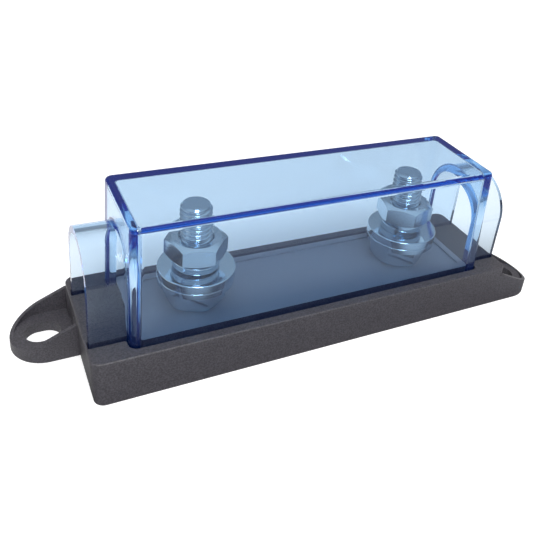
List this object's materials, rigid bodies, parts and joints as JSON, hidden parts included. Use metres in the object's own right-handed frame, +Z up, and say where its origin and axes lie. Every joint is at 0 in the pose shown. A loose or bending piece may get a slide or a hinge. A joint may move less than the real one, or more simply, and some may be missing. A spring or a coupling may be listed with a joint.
{
  "type": "anl fuse holder",
  "caption": "Black moulded base with a clear blue lift-off cover over threaded studs, nuts and washers, arched cable tunnels at the ends and slotted mounting ears.",
  "frame": {"origin": "centre of the base's underside, where it stands on the mounting surface", "axes": "+X along the fuse, from the left stud to the right stud; +Y from the long face the picture shows to the far one; +Z up, along the studs"},
  "size_m": [0.1492, 0.035, 0.0429],
  "materials": {
    "base_plastic": "moulded black, finely textured outside, smooth inside the cover",
    "cover_clear": "transparent light blue, darker blue at the edges",
    "stud_steel": "bright zinc plate, threaded",
    "nut_steel": "bright zinc plate, smooth",
    "washer_steel": "bright zinc plate"
  },
  "bodies": {
    "holder": {"base": "base_plastic", "stud_left": "stud_steel", "seat_nut_left": "nut_steel", "lower_washer_left": "washer_steel", "upper_washer_left": "washer_steel", "stud_right": "stud_steel", "seat_nut_right": "nut_steel", "lower_washer_right": "washer_steel", "upper_washer_right": "washer_steel"},
    "cover": {"cover": "cover_clear"},
    "lock_washer_left": {"lock_washer_left": "washer_steel"},
    "top_nut_left": {"top_nut_left": "nut_steel"},
    "lock_washer_right": {"lock_washer_right": "washer_steel"},
    "top_nut_right": {"top_nut_right": "nut_steel"}
  },
  "joints": [
    {"name": "cover_lift", "type": "slide", "parent": "holder", "child": "cover", "axis": [0, 0, 1], "range_m": [0, 0.04]},
    {"name": "top_nut_left_turn", "type": "hinge", "parent": "holder", "child": "lock_washer_left", "pos_m": [-0.031, 0, 0.0222], "axis": [0, 0, 1], "range_deg": [0, 1980]},
    {"name": "top_nut_left_rise", "type": "slide", "parent": "lock_washer_left", "child": "top_nut_left", "axis": [0, 0, 1], "range_m": [0, 0.0069]},
    {"name": "top_nut_right_turn", "type": "hinge", "parent": "holder", "child": "lock_washer_right", "pos_m": [0.031, 0, 0.0222], "axis": [0, 0, 1], "range_deg": [0, 1980]},
    {"name": "top_nut_right_rise", "type": "slide", "parent": "lock_washer_right", "child": "top_nut_right", "axis": [0, 0, 1], "range_m": [0, 0.0069]}
  ],
  "couplings": [
    {"joint": "top_nut_left_rise", "follows": "top_nut_left_turn", "m_per_rad": 0.00019894},
    {"joint": "top_nut_right_rise", "follows": "top_nut_right_turn", "m_per_rad": 0.00019894}
  ]
}
